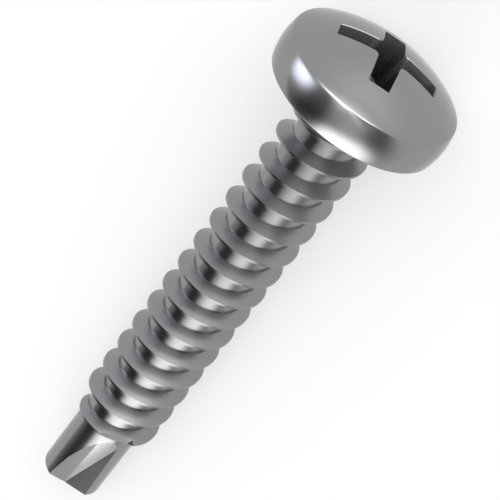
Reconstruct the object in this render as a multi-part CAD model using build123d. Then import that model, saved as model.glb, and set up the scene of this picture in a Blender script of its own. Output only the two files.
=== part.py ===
from build123d import *
from math import ceil, cos, hypot, pi, radians, sin, sqrt, tan
import os

# Self drilling screw, cold headed, thread rolled and pointed from one wire.
# Everything is built about the screw's own axis with the head up and the head's
# underside at height 0, then laid down as the screw comes to rest on a table.
# Lengths are in millimetres and angles in degrees.

# Head
head_diameter = 8.45
head_height = 2.98
widest_height = 0.84
foot_diameter = 8.24
foot_round = 0.08
crown_edge_diameter = 8.2
crown_edge_height = 1.75
crown_edge_round = 0.2

# Cross recess, form H
recess_width = 4.82
wing_width = 0.98
recess_depth = 2.5
recess_draft = 8.0
recess_corner_round = 0.16

# Thread, one start, right hand
thread_diameter = 4.2
core_diameter = 3.06
pitch = 1.4
flank_angle = 30.0
crest_width = 0.12
thread_length = 21.29
runout_turns = 0.51
thread_start_angle = 206.5

# Drill point
drill_end_height = 25.17
point_angle = 120.0
web_thickness = 0.3
web_angle = 269.0
cutting_face_angle = 317.2
cutting_face_lean = 2.4
heel_face_angle = 219.8
heel_face_lean = 9.6
flute_angle = 289.0
flute_slope = 16.7
flute_spread = 60.0

# How far the ridge is sunk into the core, and cutters run past what they cut
ridge_sink = 0.15
overrun = 0.5
points_per_turn = 12

# The side of the screw, as an angle about its axis, that lies on the table
table_side = 81.6

head_radius = head_diameter / 2
core_radius = core_diameter / 2
thread_radius = thread_diameter / 2
point_height = core_radius / tan(radians(point_angle / 2))
screw_end = drill_end_height + point_height
total_turns = thread_length / pitch
full_turns = total_turns - runout_turns


def crown_height(radius):
    """Height of the domed top at this distance from the axis."""
    rise = head_height - crown_edge_height
    half = crown_edge_diameter / 2
    dome = (half**2 + rise**2) / (2 * rise)
    return head_height - dome + sqrt(dome**2 - radius**2)


def head_side():
    """The two arcs of the head's side, from its widest place up to the crown and down to the foot."""
    widest = (head_radius, widest_height)
    upper = Edge.make_tangent_arc(widest, (0, 1), (crown_edge_diameter / 2, crown_edge_height))
    lower = Edge.make_tangent_arc(widest, (0, -1), (foot_diameter / 2, 0))
    return upper, lower


def head():
    """The pan head before its recess is punched: flat underside, bulging side, low dome."""
    upper, lower = head_side()
    quarter = crown_edge_diameter / 4
    with BuildPart() as made:
        with BuildSketch(Plane.XZ):
            with BuildLine():
                Line((0, 0), lower @ 1)
                add([lower, upper])
                ThreePointArc(upper @ 1, (quarter, crown_height(quarter)), (0, head_height))
                Line((0, head_height), (0, 0))
            make_face()
            fillet(vertices().sort_by_distance(upper @ 1)[0], crown_edge_round)
            fillet(vertices().sort_by_distance(lower @ 1)[0], foot_round)
        revolve(axis=Axis.Z)
    return made.part


def recess():
    """The punch of the cross recess: four wings that all narrow by the same draft."""
    wing_end_height = crown_height(recess_width / 2)
    spread = (head_height + overrun - wing_end_height) * tan(radians(recess_draft))
    length = recess_width + 2 * spread
    width = wing_width + 2 * spread
    with BuildPart() as made:
        with BuildSketch(Plane.XY.offset(head_height + overrun)):
            Rectangle(length, width)
            Rectangle(width, length)
            inner = vertices().sort_by(lambda v: hypot(v.X, v.Y))[:4]
            fillet(inner, recess_corner_round)
        extrude(amount=-recess_depth - overrun, taper=recess_draft)
    return made.part


def shank():
    """The plain core under the thread with the drill's cone at its end."""
    with BuildPart() as made:
        with BuildSketch(Plane.XZ):
            with BuildLine():
                Polyline(
                    (0, overrun),
                    (core_radius, overrun),
                    (core_radius, -drill_end_height),
                    (0, -screw_end),
                    close=True,
                )
            make_face()
        revolve(axis=Axis.Z)
    return made.part


def ridge_edge(first_turn, last_turn, side, on_crest):
    """One long edge of the thread ridge, above (side 1) or below (side -1) its middle."""
    foot_radius = core_radius - ridge_sink
    count = max(6, round((last_turn - first_turn) * points_per_turn))
    points = []
    for index in range(count + 1):
        turn = first_turn + (last_turn - first_turn) * index / count
        faded = max(0.0, (turn - full_turns) / runout_turns)
        crest_radius = thread_radius - (thread_radius - core_radius + ridge_sink / 3) * faded**2
        half_width = crest_width / 2
        radius = crest_radius
        if not on_crest:
            half_width += (crest_radius - foot_radius) * tan(radians(flank_angle))
            radius = foot_radius
        angle = radians(thread_start_angle) - 2 * pi * turn
        points.append((radius * cos(angle), radius * sin(angle), side * half_width - pitch * turn))
    return Edge.make_spline(points)


def ridge_piece(first_turn, last_turn):
    """A length of the thread ridge, closed at both ends and on the side sunk into the core."""
    corners = [(1, False), (1, True), (-1, True), (-1, False)]
    edges = [ridge_edge(first_turn, last_turn, side, on_crest) for side, on_crest in corners]
    sides = [Face.make_surface_from_curves(edges[i], edges[(i + 1) % 4]) for i in range(4)]
    ends = [Face(Wire.make_polygon([edge @ place for edge in edges])) for place in (0, 1)]
    return Solid(Shell(sides + ends))


def thread():
    """The pieces of the rolled thread: turn by turn from inside the head, then its run-out."""
    begin = -overrun / pitch
    count = ceil(full_turns - begin)
    step = (full_turns - begin) / count
    turns = [ridge_piece(begin + step * index, begin + step * (index + 1)) for index in range(count)]
    return turns + [ridge_piece(full_turns, total_turns)]


def level(azimuth):
    """The level direction at this angle about the screw's axis."""
    return Vector(cos(radians(azimuth)), sin(radians(azimuth)), 0)


def flute():
    """The tool that cuts one flute: a V between the cutting face and the heel face, and a
    cone with its tip in the V's corner, which brings the flute out at the core's surface."""
    web = web_thickness / 2
    corner = level(web_angle) * web + Vector(0, 0, web / tan(radians(point_angle / 2)) - screw_end)
    into_cut = level(cutting_face_angle - 90) - Vector(0, 0, tan(radians(cutting_face_lean)))
    into_heel = level(heel_face_angle + 90) - Vector(0, 0, tan(radians(heel_face_lean)))
    corner_line = into_heel.cross(into_cut)
    far = 2 * thread_diameter
    outlines = []
    for rise in (-overrun, screw_end - thread_length + overrun):
        start = corner + corner_line * (rise / corner_line.Z)
        ends = [level(angle) * far for angle in (cutting_face_angle, heel_face_angle)]
        outlines.append(Wire.make_polygon([start, start + ends[0], start + ends[1]]))
    wedge = Solid.make_loft(outlines, ruled=True)
    cone = Cone(0, far * tan(radians(flute_spread)), far, align=(Align.CENTER, Align.CENTER, Align.MIN))
    tilt = Rotation(0, 0, flute_angle) * Rotation(0, flute_slope + flute_spread, 0)
    return wedge & Pos(corner) * tilt * cone


def screw():
    """The whole screw, upright, as one solid."""
    core = shank() - flute() - Rotation(0, 0, 180) * flute()
    return (core + head()).fuse(*thread()) - recess()


def rest_points():
    """Points of the outline that can touch the table: head, last turns of the crest, drill end."""
    outward = level(table_side)
    lower = head_side()[1]
    points = [outward * spot.X + Vector(0, 0, spot.Y) for spot in (lower @ (i / 200) for i in range(201))]
    crests = [
        ridge_edge(first, last, side, True)
        for first, last in ((full_turns - 1, full_turns), (full_turns, total_turns))
        for side in (1, -1)
    ]
    tail = [crest @ (i / 200) for crest in crests for i in range(201)]
    tail.append(outward * core_radius - Vector(0, 0, drill_end_height))
    return points, tail


def rest_tilt():
    """The tilt at which the head's side and the screw's other end touch the table together."""
    head_points, tail_points = rest_points()
    low = 0.0
    high = 45.0
    for _ in range(30):
        tilt = (low + high) / 2
        down = level(table_side) * cos(radians(tilt)) - Vector(0, 0, sin(radians(tilt)))
        head_reach = max(point.dot(down) for point in head_points)
        tail_reach = max(point.dot(down) for point in tail_points)
        if head_reach > tail_reach:
            low = tilt
        else:
            high = tilt
    return (low + high) / 2


def laid_down(upright):
    """The screw on the table with its head towards +X, centred over the origin."""
    turned = Rotation(0, 90 - rest_tilt(), 0) * Rotation(0, 0, -table_side) * upright
    box = turned.bounding_box()
    return Pos(-box.center().X, -box.center().Y, -box.min.Z) * turned


if __name__ == "__main__":
    os.makedirs("parts", exist_ok=True)
    export_step(laid_down(screw()), "parts/screw.step")
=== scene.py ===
import bmesh
import bpy
from math import atan2, copysign, cos, hypot, pi, radians, sin, sqrt, tan
from mathutils import Matrix, Vector


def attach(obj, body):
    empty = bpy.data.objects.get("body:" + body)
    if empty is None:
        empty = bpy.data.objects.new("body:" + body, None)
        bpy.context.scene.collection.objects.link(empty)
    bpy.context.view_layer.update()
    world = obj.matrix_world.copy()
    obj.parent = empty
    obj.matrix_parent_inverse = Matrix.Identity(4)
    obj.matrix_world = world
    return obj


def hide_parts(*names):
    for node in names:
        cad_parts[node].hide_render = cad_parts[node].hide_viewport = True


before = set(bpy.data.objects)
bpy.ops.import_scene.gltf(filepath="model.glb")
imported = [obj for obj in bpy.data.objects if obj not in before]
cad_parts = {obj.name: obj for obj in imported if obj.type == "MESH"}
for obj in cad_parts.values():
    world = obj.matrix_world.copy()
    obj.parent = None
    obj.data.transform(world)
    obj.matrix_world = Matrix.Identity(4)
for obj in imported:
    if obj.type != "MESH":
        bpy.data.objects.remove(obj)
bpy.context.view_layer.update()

# The shank, with the coarse thread that flat dies roll into the wire. It is made upright, in
# millimetres, with the head's underside at height 0. One pitch of the core and the ridge is
# wound down the whole length, so the turns meet along one seam, and then the ridge fades out.
PITCH = 1.4
CORE = 1.53
CREST = 2.1
CREST_HALF = 0.06
FLANK = tan(radians(30))
START = radians(206.5)
THREAD_TURNS = 21.29 / PITCH
RUNOUT = 0.51
RUNOUT_SINK = 0.05
INTO_HEAD = 0.2
DRILL_END = -25.17
POINT_SPREAD = tan(radians(60))
TIP = DRILL_END - CORE / POINT_SPREAD
TURNS_WOUND = 19
STEPS = 96
WELD = 0.001
ON_PLANE = 0.0001


def everything(bm):
    return bm.verts[:] + bm.edges[:] + bm.faces[:]


def points_in(found):
    """The points among what an operator gives back."""
    return [item for item in found if isinstance(item, bmesh.types.BMVert)]


def edges_in(found):
    """The edges among what an operator gives back."""
    return [item for item in found if isinstance(item, bmesh.types.BMEdge)]


def wound_wire():
    """The core and the ridge as one skin, from inside the head to past the drill's end."""
    bm = bmesh.new()
    foot = CREST_HALF + (CREST - CORE) * FLANK
    section = [(CORE, PITCH / 2), (CORE, foot), (CREST, CREST_HALF)]
    section += [(radius, -height) for radius, height in reversed(section)]
    points = [bm.verts.new((radius, 0, height)) for radius, height in section]
    for upper, lower in zip(points, points[1:]):
        bm.edges.new((upper, lower))
    bmesh.ops.rotate(bm, verts=bm.verts[:], cent=(0, 0, 0), matrix=Matrix.Rotation(START, 3, "Z"))
    bmesh.ops.spin(bm, geom=bm.verts[:] + bm.edges[:], cent=(0, 0, 0), axis=(0, 0, 1),
                   dvec=(0, 0, -PITCH / STEPS), angle=-2 * pi, steps=STEPS)
    one_turn = everything(bm)
    for turn in [-1, *range(1, TURNS_WOUND)]:
        copied = bmesh.ops.duplicate(bm, geom=one_turn)["geom"]
        bmesh.ops.translate(bm, verts=points_in(copied), vec=(0, 0, -PITCH * turn))
    return bm


def fade_ridge(bm):
    """Lowers and narrows the ridge over its last half turn, where the dies let go of the wire."""
    for point in bm.verts:
        part_turn = ((START - atan2(point.co.y, point.co.x)) / (2 * pi)) % 1
        turn = part_turn + round(-point.co.z / PITCH - part_turn)
        beside = point.co.z + PITCH * turn
        off_seam = abs(beside) < 0.49 * PITCH
        faded = min(1, (turn - THREAD_TURNS + RUNOUT) / RUNOUT)
        if faded > 0 and off_seam:
            left = max(0, 1 - (1 + RUNOUT_SINK / (CREST - CORE)) * faded**2)
            radius = hypot(point.co.x, point.co.y)
            reach = (CORE + (radius - CORE) * left) / radius
            half = min(abs(beside), CREST_HALF) + max(0, abs(beside) - CREST_HALF) * left
            point.co = Vector((point.co.x * reach, point.co.y * reach,
                               copysign(half, beside) - PITCH * turn))


def shank():
    """The wound wire closed inside the head and ground to a 120 degree point."""
    bm = wound_wire()
    fade_ridge(bm)
    bmesh.ops.remove_doubles(bm, verts=bm.verts[:], dist=WELD)
    top = bmesh.ops.bisect_plane(bm, geom=everything(bm), dist=ON_PLANE, plane_co=(0, 0, INTO_HEAD),
                                 plane_no=(0, 0, 1), clear_outer=True)["geom_cut"]
    bmesh.ops.edgeloop_fill(bm, edges=edges_in(top))
    end = bmesh.ops.bisect_plane(bm, geom=everything(bm), dist=ON_PLANE, plane_co=(0, 0, DRILL_END),
                                 plane_no=(0, 0, -1), clear_outer=True)["geom_cut"]
    cone = bmesh.ops.extrude_edge_only(bm, edges=edges_in(end))["geom"]
    bmesh.ops.pointmerge(bm, verts=points_in(cone), merge_co=(0, 0, TIP))
    bmesh.ops.recalc_face_normals(bm, faces=bm.faces[:])
    return bm


def piece(name, bm):
    """An object that holds this mesh, in the scene."""
    mesh = bpy.data.meshes.new(name)
    bm.to_mesh(mesh)
    bm.free()
    made = bpy.data.objects.new(name, mesh)
    bpy.context.scene.collection.objects.link(made)
    return made


screw = piece("drill_screw", shank())

# The drill point's two flutes are pinched into the wire's end: a V between a steep cutting
# face and a leaning heel face, which a cone with its tip in the V's corner brings out to
# the wire's surface. The second flute is the first turned half round.
WEB_HALF = 0.15
WEB_ANGLE = 269.0
CUTTING_FACE = 317.2
CUTTING_LEAN = 2.4
HEEL_FACE = 219.8
HEEL_LEAN = 9.6
FLUTE_ANGLE = 289.0
FLUTE_SLOPE = 16.7
FLUTE_SPREAD = 60.0
FLUTE_REACH = 5.0


def level(degrees):
    """The level direction at this angle about the screw's axis."""
    return Vector((cos(radians(degrees)), sin(radians(degrees)), 0))


def flute():
    """The V's cutter: a cone cut down to the room between the two faces."""
    corner = level(WEB_ANGLE) * WEB_HALF + Vector((0, 0, TIP + WEB_HALF / POINT_SPREAD))
    bm = bmesh.new()
    bmesh.ops.create_cone(bm, cap_ends=True, segments=256, radius1=0, depth=FLUTE_REACH,
                          radius2=FLUTE_REACH * tan(radians(FLUTE_SPREAD)))
    bmesh.ops.remove_doubles(bm, verts=bm.verts[:], dist=WELD)
    turned = Matrix.Rotation(radians(FLUTE_ANGLE), 4, "Z")
    turned @= Matrix.Rotation(radians(FLUTE_SLOPE + FLUTE_SPREAD), 4, "Y")
    tip_first = Matrix.Translation((0, 0, FLUTE_REACH / 2))
    bmesh.ops.transform(bm, verts=bm.verts[:], matrix=Matrix.Translation(corner) @ turned @ tip_first)
    for facing, lean in ((CUTTING_FACE - 90, CUTTING_LEAN), (HEEL_FACE + 90, HEEL_LEAN)):
        into_flute = level(facing) - Vector((0, 0, tan(radians(lean))))
        bmesh.ops.bisect_plane(bm, geom=everything(bm), dist=ON_PLANE, plane_co=corner,
                               plane_no=into_flute, clear_inner=True)
        bmesh.ops.holes_fill(bm, edges=[edge for edge in bm.edges if edge.is_boundary], sides=0)
    bmesh.ops.recalc_face_normals(bm, faces=bm.faces[:])
    return bm


def worked(body, how, tool):
    """Cuts the tool from the body or joins it to the body. The tool is used up."""
    change = body.modifiers.new(how, "BOOLEAN")
    change.operation = how
    change.solver = "EXACT"
    change.object = tool
    made = bpy.data.meshes.new_from_object(body.evaluated_get(bpy.context.evaluated_depsgraph_get()))
    body.modifiers.clear()
    body.data = made
    bpy.data.objects.remove(tool)


worked(screw, "DIFFERENCE", piece("flute_cutter", flute()))
second = flute()
bmesh.ops.rotate(second, verts=second.verts[:], cent=(0, 0, 0), matrix=Matrix.Rotation(pi, 3, "Z"))
worked(screw, "DIFFERENCE", piece("flute_cutter", second))

# The pan head is struck cold from the same wire: a low dome, a small round at the crown, a
# side that bulges a little and a flat underside. Its half outline is drawn by swinging a
# point round the centre of one arc after another, and then turned about the screw's axis.
HEAD = 4.225
HEAD_HEIGHT = 2.98
WIDEST = 0.84
FOOT = 4.12
FOOT_ROUND = 0.08
CROWN = 4.1
CROWN_HEIGHT = 1.75
CROWN_ROUND = 0.2
DOME = (CROWN**2 + (HEAD_HEIGHT - CROWN_HEIGHT) ** 2) / (2 * (HEAD_HEIGHT - CROWN_HEIGHT))
ARC_STEPS = (24, 8, 10, 10, 6)


def bulge(radius, height):
    """The radius of the side's arc that is upright at the widest place and meets this corner."""
    inset = HEAD - radius
    return (inset**2 + (height - WIDEST) ** 2) / (2 * inset)


def head_outline(bm):
    """The arcs of the half outline, from the middle of the dome to the foot."""
    upper = bulge(CROWN, CROWN_HEIGHT)
    lower = bulge(FOOT, 0)
    dome_middle = Vector((0, HEAD_HEIGHT - DOME))
    upper_middle = Vector((HEAD - upper, WIDEST))
    lower_middle = Vector((HEAD - lower, WIDEST))
    apart = upper_middle - dome_middle
    near = DOME - CROWN_ROUND
    far = upper - CROWN_ROUND
    along = (near**2 - far**2 + apart.length**2) / (2 * apart.length)
    aside = Vector((apart.y, -apart.x)).normalized() * sqrt(near**2 - along**2)
    crown_middle = dome_middle + apart.normalized() * along + aside
    foot_middle = Vector((lower_middle.x, FOOT_ROUND))
    foot_middle.x += sqrt((lower - FOOT_ROUND) ** 2 - (WIDEST - FOOT_ROUND) ** 2)
    from_dome = crown_middle - dome_middle
    from_upper = crown_middle - upper_middle
    from_lower = foot_middle - lower_middle
    stops = [pi / 2, atan2(from_dome.y, from_dome.x), atan2(from_upper.y, from_upper.x), 0,
             atan2(from_lower.y, from_lower.x), -pi / 2]
    middles = [dome_middle, crown_middle, upper_middle, lower_middle, foot_middle]
    point = bm.verts.new((0, 0, HEAD_HEIGHT))
    for middle, begin, stop, steps in zip(middles, stops, stops[1:], ARC_STEPS):
        swung = bmesh.ops.spin(bm, geom=[point], cent=(middle.x, 0, middle.y), axis=(0, 1, 0),
                               angle=begin - stop, steps=steps)["geom_last"]
        point = points_in(swung)[0]
    centre = bm.verts.new((0, 0, 0))
    bm.edges.new((point, centre))


def head():
    """The head before its recess is struck."""
    bm = bmesh.new()
    head_outline(bm)
    bmesh.ops.spin(bm, geom=bm.verts[:] + bm.edges[:], cent=(0, 0, 0), axis=(0, 0, 1),
                   angle=2 * pi, steps=2 * STEPS, use_merge=True)
    bmesh.ops.remove_doubles(bm, verts=bm.verts[:], dist=WELD)
    bmesh.ops.recalc_face_normals(bm, faces=bm.faces[:])
    return bm


# The cross recess, form H, is struck by a punch with four wings. All its walls lean 8
# degrees, the four corners between the wings are rounded, and the metal that the punch
# drags down leaves a small round along the rim, which follows the dome.
WING_REACH = 2.41
WING_HALF = 0.49
RECESS_FLOOR = 0.48
PUNCH_TOP = 3.48
DRAFT = tan(radians(8))
CORNER_ROUND = 0.16
RIM_ROUND = 0.06
RIM_SWINGS = (90, 67.5, 45, 22.5, 0)
WING_CUTS = 12


def dome_height(point):
    """Height of the domed top over this point."""
    return HEAD_HEIGHT - DOME + sqrt(DOME**2 - point.x**2 - point.y**2)


def drafted_cross():
    """The punch's four wings with plain walls, as high as the punch."""
    bm = bmesh.new()
    spread = (PUNCH_TOP - dome_height(Vector((WING_REACH, 0)))) * DRAFT
    reach = WING_REACH + spread
    half = WING_HALF + spread
    corners = []
    for quarter in range(4):
        turned = Matrix.Rotation(quarter * pi / 2, 3, "Z")
        for spot in ((reach, -half, PUNCH_TOP), (reach, half, PUNCH_TOP), (half, half, PUNCH_TOP)):
            corners.append(bm.verts.new(turned @ Vector(spot)))
    bm.faces.new(corners)
    inner = [corner for corner in corners if hypot(corner.co.x, corner.co.y) < 1.5 * half]
    bmesh.ops.bevel(bm, geom=inner, offset=CORNER_ROUND, offset_type="OFFSET", segments=8,
                    profile=0.5, affect="VERTICES", material=-1)
    depth = PUNCH_TOP - RECESS_FLOOR
    bmesh.ops.inset_region(bm, faces=bm.faces[:], thickness=depth * DRAFT, depth=-depth,
                           use_boundary=True, use_even_offset=True)
    bmesh.ops.holes_fill(bm, edges=[edge for edge in bm.edges if edge.is_boundary], sides=0)
    return bm


def wing_sides(bm):
    """The long edges of the wings, which are 1 to 2 mm and lie beside a wing's middle line."""
    sides = []
    for edge in bm.edges:
        middle = (edge.verts[0].co + edge.verts[1].co) / 2
        if 1 < edge.calc_length() < 2 and min(abs(middle.x), abs(middle.y)) > 0.1:
            sides.append(edge)
    return sides


def wall_column(top):
    """The points down a wall of the punch, from this one at its top to the floor."""
    column = [top]
    while True:
        last = column[-1]
        lowest = min((edge.other_vert(last) for edge in last.link_edges), key=lambda point: point.co.z)
        if lowest.co.z > last.co.z - WELD:
            return column
        column.append(lowest)


def punch():
    """The punch, drafted from one cross, with a lip along the dome that gives the rim its round."""
    bm = drafted_cross()
    depth = PUNCH_TOP - RECESS_FLOOR
    bmesh.ops.subdivide_edges(bm, edges=wing_sides(bm), cuts=WING_CUTS, use_grid_fill=True)
    walls = [edge for edge in bm.edges if edge.calc_length() > 0.9 * depth]
    bmesh.ops.subdivide_edges(bm, edges=walls, cuts=len(RIM_SWINGS), use_grid_fill=True)
    for top in [point for point in bm.verts if point.co.z > PUNCH_TOP - WELD]:
        column = wall_column(top)
        slope = (column[-1].co - top.co) / depth
        outward = -Vector((slope.x, slope.y, 0)) / DRAFT
        # Where the wall meets the dome, closer with each round
        rim = top.co.copy()
        for _ in range(6):
            rim = top.co + slope * (PUNCH_TOP - dome_height(rim))
        for point, swing in zip(column[1:-1], RIM_SWINGS):
            place = rim + outward * RIM_ROUND * (1 - cos(radians(swing)))
            place.z = dome_height(place) - RIM_ROUND * (0.95 - sin(radians(swing)))
            point.co = place
        top.co = rim + outward * 1.3 * RIM_ROUND
        top.co.z = PUNCH_TOP
    bmesh.ops.recalc_face_normals(bm, faces=bm.faces[:])
    return bm


struck_head = piece("head", head())
worked(struck_head, "DIFFERENCE", piece("punch", punch()))
worked(screw, "UNION", struck_head)

# The plating comes out dull where the dies worked the wire hardest: on the thread's flanks
# and in the flutes. The head, the crests, the roots and the drill's outside stay bright.
# The dull faces are picked here, while the screw still stands upright.
DRILL_TOP = -21.8
INSIDE_WIRE = 0.02
FLATTEST = 0.97
STEEPEST = 0.7


def out_of_the_dies(face):
    """Whether this face is a flank of the thread or lies in a flute."""
    height = face.center.z
    radius = hypot(face.center.x, face.center.y)
    if height < DRILL_TOP:
        return radius < min(CORE, (height - TIP) * POINT_SPREAD) - INSIDE_WIRE
    return height < 0 and radius > CORE and STEEPEST < abs(face.normal.z) < FLATTEST


dull = [out_of_the_dies(face) for face in screw.data.polygons]

# The finished screw is laid on the table as it comes to rest: on the rim of its head and on
# the crest of its last turn, which tilts its axis by 5.8 degrees. The shift, in metres,
# brings the middle of the lying screw over the origin.
TABLE_SIDE = 81.6
TILT = 5.830373035278171
SHIFT = (0.011463892908795124, 0, 0.004135700197473563)
MILLIMETRE = 0.001
SHARP_EDGE = radians(30)

laid = Matrix.Translation(SHIFT) @ Matrix.Rotation(radians(90 - TILT), 4, "Y")
laid @= Matrix.Rotation(radians(-TABLE_SIDE), 4, "Z") @ Matrix.Scale(MILLIMETRE, 4)
screw.data.transform(laid)
screw.data.shade_smooth()
screw.data.set_sharp_from_angle(angle=SHARP_EDGE)

# Zinc plate on steel: smooth, grey and mirror like, with faint clouds in its colour and sheen
# and a fine grain. The clouds are 1.1 mm and the grains 0.13 mm across, both far coarser
# than the real plating's, which wouldn't show. The dull plating blurs what it mirrors.
CLOUDS_PER_METRE = 900
GRAINS_PER_METRE = 8000
BRIGHT_ROUGHNESS = (0.13, 0.18)
DULL_ROUGHNESS = (0.29, 0.35)
EDGE_TINT = (0.85, 0.85, 0.85, 1)
GRAIN_DEPTH = 0.000001


def linear(code):
    """Linear light from an sRGB hex value."""
    shares = [int(code[place:place + 2], 16) / 255 for place in (1, 3, 5)]
    return [share / 12.92 if share <= 0.04045 else ((share + 0.055) / 1.055) ** 2.4 for share in shares]


def add_node(tree, kind, links=None, **settings):
    """A node of this kind with its settings, its constant inputs and what feeds it."""
    node = tree.nodes.new(kind)
    for name, value in settings.items():
        setattr(node, name, value)
    for name, source in (links or {}).items():
        if isinstance(source, bpy.types.NodeSocket):
            tree.links.new(source, node.inputs[name])
        else:
            node.inputs[name].default_value = source
    return node


def blended(tree, how, share, under, over):
    """One colour laid over another. The node's colour sockets share a name, so they go by place."""
    node = add_node(tree, "ShaderNodeMix", links={0: share}, data_type="RGBA", blend_type=how,
                    clamp_result=False)
    for place, source in ((6, under), (7, over)):
        if isinstance(source, bpy.types.NodeSocket):
            tree.links.new(source, node.inputs[place])
        else:
            node.inputs[place].default_value = source
    return node.outputs[2]


def zinc_plated(name, roughness):
    """The plating, with its roughness between these two figures."""
    plated = bpy.data.materials.new(name)
    plated.use_nodes = True
    tree = plated.node_tree
    metal = tree.nodes["Principled BSDF"]
    metal.inputs["Metallic"].default_value = 0.96
    metal.inputs["Specular Tint"].default_value = EDGE_TINT
    spot = add_node(tree, "ShaderNodeTexCoord").outputs["Object"]
    clouds = add_node(tree, "ShaderNodeTexNoise", links={
        "Vector": spot, "Scale": CLOUDS_PER_METRE, "Detail": 3}).outputs["Fac"]
    grain = add_node(tree, "ShaderNodeTexNoise", links={
        "Vector": spot, "Scale": GRAINS_PER_METRE, "Detail": 2}).outputs["Fac"]
    tone = blended(tree, "MIX", clouds, (*linear("#8b8b8c"), 1), (*linear("#909091"), 1))
    sheen = add_node(tree, "ShaderNodeMapRange", links={
        "Value": clouds, "From Min": 0.3, "From Max": 0.7, "To Min": roughness[0], "To Max": roughness[1]})
    relief = add_node(tree, "ShaderNodeBump", links={
        "Height": grain, "Strength": 0.2, "Distance": GRAIN_DEPTH})
    tree.links.new(tone, metal.inputs["Base Color"])
    tree.links.new(sheen.outputs[0], metal.inputs["Roughness"])
    tree.links.new(relief.outputs[0], metal.inputs["Normal"])
    return plated


screw.data.materials.clear()
screw.data.materials.append(zinc_plated("bright zinc plated steel", BRIGHT_ROUGHNESS))
screw.data.materials.append(zinc_plated("dull zinc plated steel", DULL_ROUGHNESS))
for face, is_dull in zip(screw.data.polygons, dull):
    face.material_index = is_dull
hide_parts("screw")
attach(screw, "root")

# The floor is a plain sheet of white paper, wide enough to fill every view from above. Metal
# sees it as plain white with a painted pool of light on it in front of the head, which only
# the metal's reflections show, and the camera sees it half as lit paper, which still keeps the
# screw's soft shadow.
FLOOR_REACH = 2.0
PLAIN_WHITE = (0.98, 0.98, 0.98, 1)
# The painted pool of light: its colour, added to the white, and where it lies round the top of the head.
PAINTED_GLOW = (0.32, 0.32, 0.32, 1)
PAINTED_GLOW_PATCH = (-3, -2, 0.6, 0.5, 0, 1)
TOP_OF_HEAD = (0.0135, 0, 0.0045)
WHITE_TO_CAMERA = 0.5


def soft_patch(tree, towards, azimuth, elevation, width, height, roll, edge):
    """1 inside a soft edged oval of the directions round a point, 0 outside it."""
    turned = (radians(roll), radians(-elevation), radians(azimuth))
    facing = Vector((cos(radians(elevation)) * cos(radians(azimuth)),
                     cos(radians(elevation)) * sin(radians(azimuth)), sin(radians(elevation))))
    placed = add_node(tree, "ShaderNodeMapping", vector_type="TEXTURE", links={
        "Vector": towards, "Location": facing, "Rotation": turned, "Scale": (1, width, height)})
    fall = add_node(tree, "ShaderNodeTexGradient", gradient_type="SPHERICAL",
                    links={"Vector": placed.outputs[0]})
    return add_node(tree, "ShaderNodeMapRange", interpolation_type="SMOOTHSTEP", links={
        "Value": fall.outputs["Fac"], "From Min": 0, "From Max": edge, "To Min": 0, "To Max": 1}).outputs[0]


floor_mesh = bmesh.new()
bmesh.ops.create_grid(floor_mesh, x_segments=1, y_segments=1, size=FLOOR_REACH)
floor = piece("floor", floor_mesh)
paper = bpy.data.materials.new("matt white paper")
paper.use_nodes = True
page = paper.node_tree
sheet = page.nodes["Principled BSDF"]
sheet.inputs["Base Color"].default_value = (*linear("#cecece"), 1)
sheet.inputs["Roughness"].default_value = 1
sheet.inputs["Specular IOR Level"].default_value = 0
from_head = add_node(page, "ShaderNodeVectorMath", operation="SUBTRACT", links={
    0: add_node(page, "ShaderNodeTexCoord").outputs["Object"], 1: TOP_OF_HEAD}).outputs[0]
towards = add_node(page, "ShaderNodeVectorMath", operation="NORMALIZE", links={0: from_head}).outputs[0]
# A painted pool of light on the floor, in the directions out from the top of the head. Only glossy rays see
# it.
painted_glow = soft_patch(page, towards, *PAINTED_GLOW_PATCH)
ray = add_node(page, "ShaderNodeLightPath").outputs
lit = blended(page, "ADD", painted_glow, PLAIN_WHITE, PAINTED_GLOW)
lit = blended(page, "MIX", ray["Is Camera Ray"], lit, PLAIN_WHITE)
white = add_node(page, "ShaderNodeEmission", links={"Color": lit, "Strength": 1})
plain = add_node(page, "ShaderNodeMath", operation="MULTIPLY_ADD", links={
    0: ray["Is Camera Ray"], 1: WHITE_TO_CAMERA, 2: ray["Is Glossy Ray"]})
shown = add_node(page, "ShaderNodeMixShader", links={
    0: plain.outputs[0], 1: sheet.outputs[0], 2: white.outputs[0]})
page.links.new(shown.outputs[0], page.nodes["Material Output"].inputs["Surface"])
floor.data.materials.append(paper)

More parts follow.
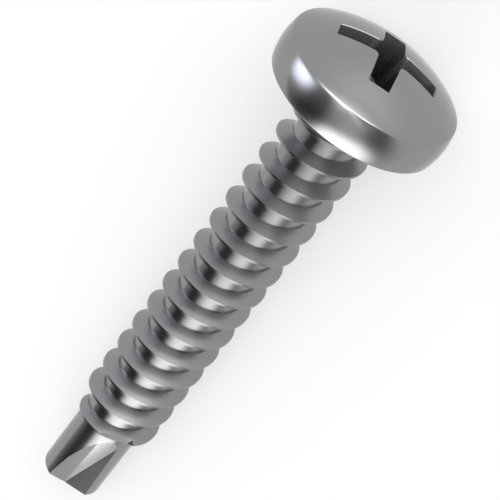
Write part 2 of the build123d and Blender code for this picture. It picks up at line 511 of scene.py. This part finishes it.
# The light is a white room with seven soft lamps and three dark flags round the screw, far
# enough off to be drawn straight into the world. The camera itself sees plain white. Each lamp
# has a colour, a strength, azimuth and elevation, width, height, roll, and how much of it is
# soft edge. Each flag has the share of light that it leaves, and then the same.
LAMPS = (
    ("#ffffff", 3.6, 11, 55, 0.66, 0.85, -41, 0.63),
    ("#ffffff", 1.6, 2, 15, 0.28, 0.58, -87, 1.00),
    ("#ffffff", 3.2, -173, 26, 0.74, 0.52, 8, 0.55),
    ("#e0e8ff", 3.2, 107, 18, 0.46, 0.24, 88, 0.87),
    ("#e0e8ff", 2.4, 101, 19, 0.47, 0.12, 86, 0.70),
    ("#ffffff", 1.7, -51, 76, 0.69, 0.31, 8, 0.48),
    ("#ffffff", 1.5, -29, 45, 0.25, 0.38, 0, 1.00),
)
FLAGS = (
    (0.09, 139, 28, 0.49, 1.07, -14, 0.92),
    (0.21, -91, 58, 0.45, 1.30, -44, 0.68),
    (0.21, 137, 41, 1.07, 0.39, -54, 0.66),
)
ROOM = (0.95, 0.95, 0.95, 1)

world = bpy.data.worlds.new("white studio")
world.use_nodes = True
bpy.context.scene.world = world
studio = world.node_tree
round_about = add_node(studio, "ShaderNodeTexCoord").outputs["Generated"]
sky = ROOM
for colour, strength, *patch in LAMPS:
    shine = (*[share * strength for share in linear(colour)], 1)
    sky = blended(studio, "ADD", soft_patch(studio, round_about, *patch), sky, shine)
for left, *patch in FLAGS:
    sky = blended(studio, "MULTIPLY", soft_patch(studio, round_about, *patch), sky, (left, left, left, 1))
seen = add_node(studio, "ShaderNodeLightPath").outputs["Is Camera Ray"]
sky = blended(studio, "MIX", seen, sky, (1, 1, 1, 1))
back = studio.nodes["Background"]
studio.links.new(sky, back.inputs["Color"])
back.inputs["Strength"].default_value = 1

# The camera looks down on the screw from the head's side, as in the photograph. Its place, in
# metres, its three directions and its lens come from fitting the screw's outline.
RIGHT = Vector((0.5487584403851055, -0.7930764055952749, -0.26437471322761874))
UPWARD = Vector((0.7123040835430361, 0.6091145550909898, -0.3487152869379563))
BEHIND = Vector((0.43759235216582826, 0.0030452691809655028, 0.8991683155347467))
EYE = (0.04229857, -0.0000044991, 0.08485281)

lens = bpy.data.cameras.new("camera")
lens.sensor_width = 36
lens.lens = 146.09673226760083
lens.clip_start = 0.01
lens.clip_end = 10
camera = bpy.data.objects.new("camera", lens)
camera.matrix_world = (Matrix.Translation(EYE)
                       @ Matrix((RIGHT, UPWARD, BEHIND)).transposed().to_4x4())
bpy.context.scene.collection.objects.link(camera)
bpy.context.scene.camera = camera

bpy.context.scene.view_settings.view_transform = "Standard"
